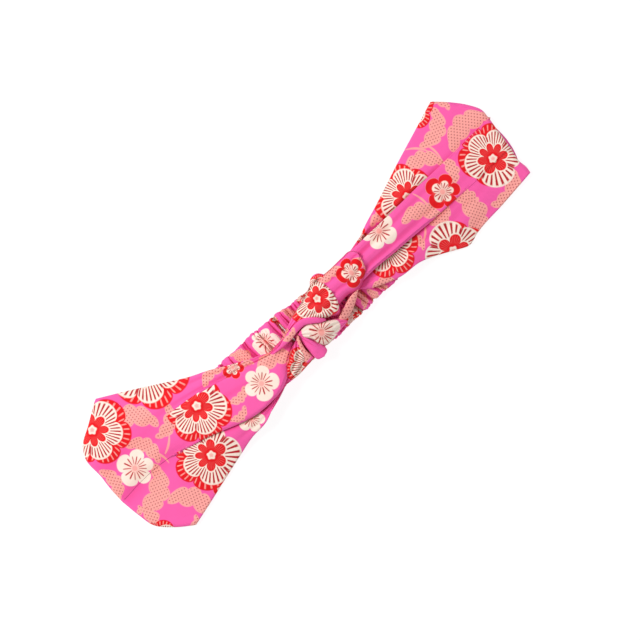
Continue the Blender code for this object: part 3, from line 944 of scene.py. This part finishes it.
def strand(name, upper, lower, crown, depth, motifs, ridges=0.0, phase=0.0, columns=110, seed=1.0, wave=0.25):
    """A bunched strand of cloth between two plan edges with heights, crowned above and rounded below.

    upper and lower hold (x, y, z) along the strand's two sides. crown, a list along it, and depth are how far
    it stands above and below them. ridges folds its top lengthwise.
    """
    u = 0.5 - 0.5 * np.cos(math.pi * np.linspace(0.0, 1.0, columns))
    a, b = trace(upper, u), trace(lower, u)
    ends = np.sqrt(np.clip(1 - np.abs(2 * np.linspace(0, 1, columns) - 1) ** 5, 0, 1))
    crown = np.interp(u, np.linspace(0, 1, len(crown)), crown)
    count = 64
    angle = 2 * math.pi * np.arange(count) / count
    middle, half = (a + b) / 2, (a - b) / 2
    rings = []
    for t in angle:
        c, s = math.cos(t), math.sin(t)
        place = middle + half * (np.sign(c) * abs(c) ** 0.85)
        place[:, 2] += (crown if s > 0 else depth) * np.sign(s) * abs(s) ** 0.8 * ends
        place[:, 2] += ridges * max(s, 0) * np.sin(3.2 * c * math.pi + phase + 1.6 * u) * ends
        rings.append(place)
    points = np.stack(rings)
    wobble = ripple(points[..., :2] + points[..., 2:] * 0.7, 0.12, seed) * wave
    points[..., 2] += wobble * np.sin(angle)[:, None].clip(0, 1)
    width = np.linalg.norm(half, axis=1)
    across = (half / np.maximum(width, 0.2)[:, None])[None, :, :2]
    turn = np.cos(angle)[:, None, None]
    plan = middle[None, :, :2] + across * turn * width[None, :, None]
    cloth = plan + across * np.clip(np.abs(turn) - 0.8, 0, 1) * np.sign(turn) * 5.0
    cloth = np.where((np.sin(angle) < -0.2)[:, None, None], cloth + (0, 60), cloth)
    # Painted shade: darker along the strand's two sides, where it meets its neighbours, and in the furrows
    # between its ridges.
    furrow = -np.sin(3.2 * np.cos(angle)[:, None] * math.pi + phase + 1.6 * u)
    painted_shade = 0.6 * smoothstep(0.84, 1.0, np.abs(np.cos(angle)))[:, None]
    painted_shade = painted_shade + min(ridges, 0.6) * smoothstep(0.3, 1, furrow)
    piece = grid_piece(name, points, cloth, np.zeros(count), motifs, wrap=True, painted_shade=painted_shade)
    return piece


def make_knot():
    """The interlocked strands, as (piece, body)."""
    made = []

    def add(name, body, *shape, **more):
        made.append((strand(name, *shape, **more), body))

    add(
        "right_wrap",
        "right_strand",
        [
            (8, 4.6, 14.5), (14, 4.9, 14.2), (20, 4.5, 13.6), (28, 4.5, 13.2), (32, 4.3, 12.8),
            (33.8, 2.6, 12.9), (34.1, 0, 13.2),
        ],
        [
            (6, -8, 14.0), (12, -9.6, 13.5), (18, -9.4, 13.0), (23, -10.7, 12.6), (27.5, -9.4, 12.4),
            (31.5, -7, 12.6), (34.1, 0, 13.2),
        ],
        [4.2, 4.2, 4.2, 4.0, 3.6],
        4.0,
        [("posy_red", 26.0, -3.2, 60, 7.0), ("leaf", 18.0, 2.4, 170, 16), ("leaf", 32.5, -4.6, 100, 11)],
        ridges=0.35,
        seed=2.0,
    )
    add(
        "left_lobe",
        "left_strand",
        [
            (-35, 1.6, 6.5), (-30, -1.4, 8.5), (-26, -3.4, 11), (-22, -3.7, 12.6), (-17, -2.9, 13.4),
            (-12, -1.2, 14), (-7, 0.9, 14), (0, 2.4, 14.5), (5, 3.9, 14.5), (10, 5.6, 14.2),
            (13, 4.6, 14), (14.2, 0, 14), (14, -3, 14),
        ],
        [
            (-35, -1.0, 6.5), (-30, -3.9, 8.5), (-26, -5.2, 11), (-22, -5.4, 12.4), (-17, -4.4, 13.2),
            (-10, -3.2, 14.5), (-4, -4.0, 15.5), (0, -6.6, 15.5), (3, -9.2, 15), (6, -11, 14.4),
            (9.6, -12.7, 13.6), (12.6, -9, 13.8), (14, -3, 14),
        ],
        [0.5, 0.8, 1.1, 1.7, 2.8, 4.2, 5.2, 5.7, 5.8, 5.6, 5.2],
        4.5,
        [("bloom", 7.0, -1.4, 80, 12.0), ("leaf", -14, -2.4, 20, 6)],
        ridges=0.35,
        phase=0.6,
        seed=3.0,
    )
    add(
        "left_ridge",
        "left_strand",
        [
            (-25, -4.6, 12.6), (-20, -4.5, 15.0), (-14, -3.0, 17.2), (-9, -2.3, 18.4), (-4, -2.7, 19.0),
            (-1, -4.4, 19), (1.4, -7, 18.2), (3.6, -9.8, 16),
        ],
        [
            (-25, -5.3, 12.4), (-20, -6.0, 14.4), (-14, -6.2, 16.2), (-9, -5.6, 17.2), (-5, -5.8, 17.6),
            (-2, -7.7, 17.4), (0.4, -9.6, 16.6), (3.2, -10.8, 15.4),
        ],
        [0.7, 1.3, 1.5, 1.5, 1.5, 1.4],
        3.5,
        [("leaf", -13, -4.5, 5, 8)],
        columns=90,
        seed=4.0,
        wave=0.12,
    )
    add(
        "right_lobe",
        "right_strand",
        [
            (-10.5, -6.5, 14.0), (-7, -5.6, 14.6), (-4, -6.0, 14.8), (-1, -8.4, 15), (2.4, -10.6, 14.4),
            (6, -12.4, 12.6), (9, -15.2, 10.4), (10.2, -17.8, 8.4),
        ],
        [
            (-10.5, -6.5, 14.0), (-9, -9.6, 13.2), (-7, -12.6, 12.4), (-6.4, -16, 10.2),
            (-4.6, -18.7, 7.8), (1, -18.9, 7.2), (6.5, -18.2, 7.4), (10.2, -17.8, 8.4),
        ],
        [3.0, 4.2, 4.6, 4.4, 3.6],
        4.0,
        [("posy", -2.0, -13.2, 30, 9.4)],
        ridges=0.3,
        phase=1.0,
        seed=5.0,
    )
    add(
        "left_tail",
        "left_strand",
        [
            (-9.0, -7.6, 12.6), (-7.4, -11, 11.6), (-6.0, -15, 10.2), (-5.3, -18.4, 8.4),
            (-5.6, -20.6, 7.6), (-8.6, -21.9, 7.4),
        ],
        [
            (-10.6, -7.6, 12.6), (-11.4, -11, 11.6), (-11.8, -15, 10.2), (-12.1, -18.6, 8.4),
            (-11.6, -20.6, 7.6), (-8.6, -21.9, 7.4),
        ],
        [1.4, 2.0, 2.8, 3.4, 3.2, 3.0],
        3.2,
        [],
        columns=90,
        seed=7.0,
        wave=0.1,
    )
    add(
        "left_tail_rib",
        "left_strand",
        [
            (-9.6, -7.2, 14.0), (-8.3, -10.5, 14.2), (-7.2, -14, 13.2), (-6.9, -16.5, 12.0),
            (-7.3, -18.3, 11.0),
        ],
        [
            (-10.2, -7.2, 14.0), (-9.6, -10.5, 14.2), (-8.9, -14, 13.2), (-8.4, -16.5, 12.0),
            (-7.7, -18.3, 11.0),
        ],
        [0.9, 1.0, 0.9, 0.5],
        2.5,
        [],
        columns=70,
        seed=6.0,
        wave=0.05,
    )
    add(
        "left_neck",
        "left_strand",
        [
            (-9.6, -6.2, 14.6), (-10.9, -8.6, 14.2), (-12, -12, 13.2), (-12.4, -15, 11.8),
            (-12.2, -18.8, 9.4),
        ],
        [
            (-11.4, -6.4, 14.2), (-13.4, -9.4, 13.6), (-14.8, -12, 12.4), (-16.2, -15, 11.0),
            (-16.8, -18.8, 9.2),
        ],
        [1.3, 1.6, 1.5, 1.2],
        2.5,
        [("leaf", -12.8, -11.5, 62, 18)],
        columns=80,
        seed=8.0,
        wave=0.1,
    )
    add(
        "left_gather",
        "left_strand",
        [
            (-12, -7.4, 13.0), (-16, -8.8, 12.6), (-21, -11.2, 12.0), (-25, -13.8, 10.6),
            (-29, -17.4, 8.4), (-29.3, -18.4, 7.8),
        ],
        [
            (-12, -7.4, 13.0), (-12.4, -12, 11.6), (-12.4, -18.6, 7.6), (-18, -19.6, 7.0),
            (-25, -19.6, 7.0), (-29.3, -18.4, 7.8),
        ],
        [1.6, 2.6, 2.9, 2.6, 1.8],
        3.0,
        [("bloom", -15.5, -21.5, 55, 10.8), ("leaf", -20.5, -11.6, 32, 8)],
        ridges=0.6,
        phase=2.0,
        seed=9.0,
    )
    add(
        "right_strap",
        "right_strand",
        [
            (23, -10.6, 13.2), (19, -10.4, 13.4), (14, -11.6, 13.2), (10, -12.9, 12.8),
            (7.4, -14.2, 12.2), (6.4, -15, 12),
        ],
        [
            (23, -10.8, 12.8), (20, -13, 11.6), (16, -15.2, 10.6), (12, -16.4, 10.2), (9, -16.6, 10.2),
            (6.4, -15, 12),
        ],
        [1.2, 1.9, 2.0, 1.6],
        3.0,
        [("leaf", 14.5, -13.6, 14, 24)],
        columns=80,
        seed=10.0,
        wave=0.15,
    )
    add(
        "left_curl",
        "left_strand",
        [
            (8.2, 4.2, 14), (9.4, 6.2, 14), (11.6, 7.6, 13.8), (14.4, 7.4, 13.6), (16.4, 5.4, 13.4),
            (17.2, 3.0, 13.6),
        ],
        [
            (9.8, 3.4, 14), (10.8, 4.6, 14), (12.2, 5.0, 13.8), (13.6, 4.6, 13.6), (14.4, 3.4, 13.4),
            (14.8, 2.0, 13.6),
        ],
        [2.4, 3.0, 3.2, 3.0, 2.4],
        3.4,
        [("bloom", 10.6, 1.2, 0, 6.2)],
        columns=80,
        seed=12.0,
        wave=0.1,
    )
    return made


# ---------------------------------------------------------------- stage


FLOOR = 3.0  # half the floor's side, in metres


def make_stage():
    """A white floor, a large soft key lamp from the upper left, a fill, and the camera."""
    floor = bpy.data.meshes.new("floor")
    corners = [(-FLOOR, -FLOOR, 0), (FLOOR, -FLOOR, 0), (FLOOR, FLOOR, 0), (-FLOOR, FLOOR, 0)]
    floor.from_pydata(corners, [], [(0, 1, 2, 3)])
    material = bpy.data.materials.new("floor_white")
    material.use_nodes = True
    shader = material.node_tree.nodes["Principled BSDF"]
    shader.inputs["Base Color"].default_value = (0.2, 0.2, 0.2, 1)
    shader.inputs["Emission Color"].default_value = (1, 1, 1, 1)
    shader.inputs["Emission Strength"].default_value = 0.86
    shader.inputs["Roughness"].default_value = 0.9
    floor.materials.append(material)
    stage = bpy.data.objects.new("floor", floor)
    stage.location.z = -0.0001
    bpy.context.scene.collection.objects.link(stage)

    world = bpy.data.worlds.new("studio")
    bpy.context.scene.world = world
    world.use_nodes = True
    world.node_tree.nodes["Background"].inputs[0].default_value = (1, 1, 1, 1)
    world.node_tree.nodes["Background"].inputs[1].default_value = 0.41

    for name, place, size, power in (
        ("key", (-0.34, 0.48, 0.74), 0.32, 6.2),
        ("fill", (0.5, -0.3, 0.9), 0.8, 2.4),
    ):
        light = bpy.data.lights.new(name, "AREA")
        light.energy = power
        light.size = size
        lamp = bpy.data.objects.new(name, light)
        lamp.location = place
        lamp.rotation_euler = (-Vector(place)).to_track_quat("-Z", "Y").to_euler()
        bpy.context.scene.collection.objects.link(lamp)

    camera = bpy.data.cameras.new("camera")
    camera.lens = 100
    camera.sensor_width = 36
    view = bpy.data.objects.new("camera", camera)
    view.location = (1.4 * MM, -8.7 * MM, 0.806)
    view.rotation_euler = (0, 0, math.radians(-44))
    bpy.context.scene.collection.objects.link(view)
    bpy.context.scene.camera = view
    bpy.context.scene.view_settings.view_transform = "Standard"


# ---------------------------------------------------------------- making


SEWN = [
    f"{side}_{name}"
    for side in ("right", "left")
    for name in ("join_stitch_near", "join_stitch_far", "elastic_tack", "panel_seam", "casing_seam")
]
LOOP_STRANDS = {"left_lobe": "left_knot_loop", "right_wrap": "right_knot_loop"}


def main():
    make_stage()
    strands = {"right": [], "left": []}
    for piece, body in make_knot():
        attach(piece, body)
        if piece.name in LOOP_STRANDS:
            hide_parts(LOOP_STRANDS[piece.name])
        strands[body.split("_")[0]].append(piece)
    for piece, sign, side in make_fans():
        start = (sign * 34 * MM, 0, 0)
        end = (sign * 108 * MM, 0, 0)
        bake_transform(piece)
    for side, sign, outline in (("right", 1, RIGHT_BACK), ("left", -1, LEFT_BACK)):
        piece = make_back(side, sign, outline, back_print(sign))
        start = (sign * 56 * MM, 0, 0)
        end = (sign * 104 * MM, 0, 0)
        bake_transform(piece)
        (0.05, 0.06) if side == "right" else (0.06, 0.065)
        elastic = make_elastic(side, sign)
        piece = make_casing(side, sign, CASING_PRINT)
        end = (sign * 50 * MM, 0, 0)
        for made in (elastic, piece):
            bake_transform(made)
    for name in SEWN:
        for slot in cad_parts[name].material_slots:
            slot.link = "OBJECT"
            slot.material = thread


main()
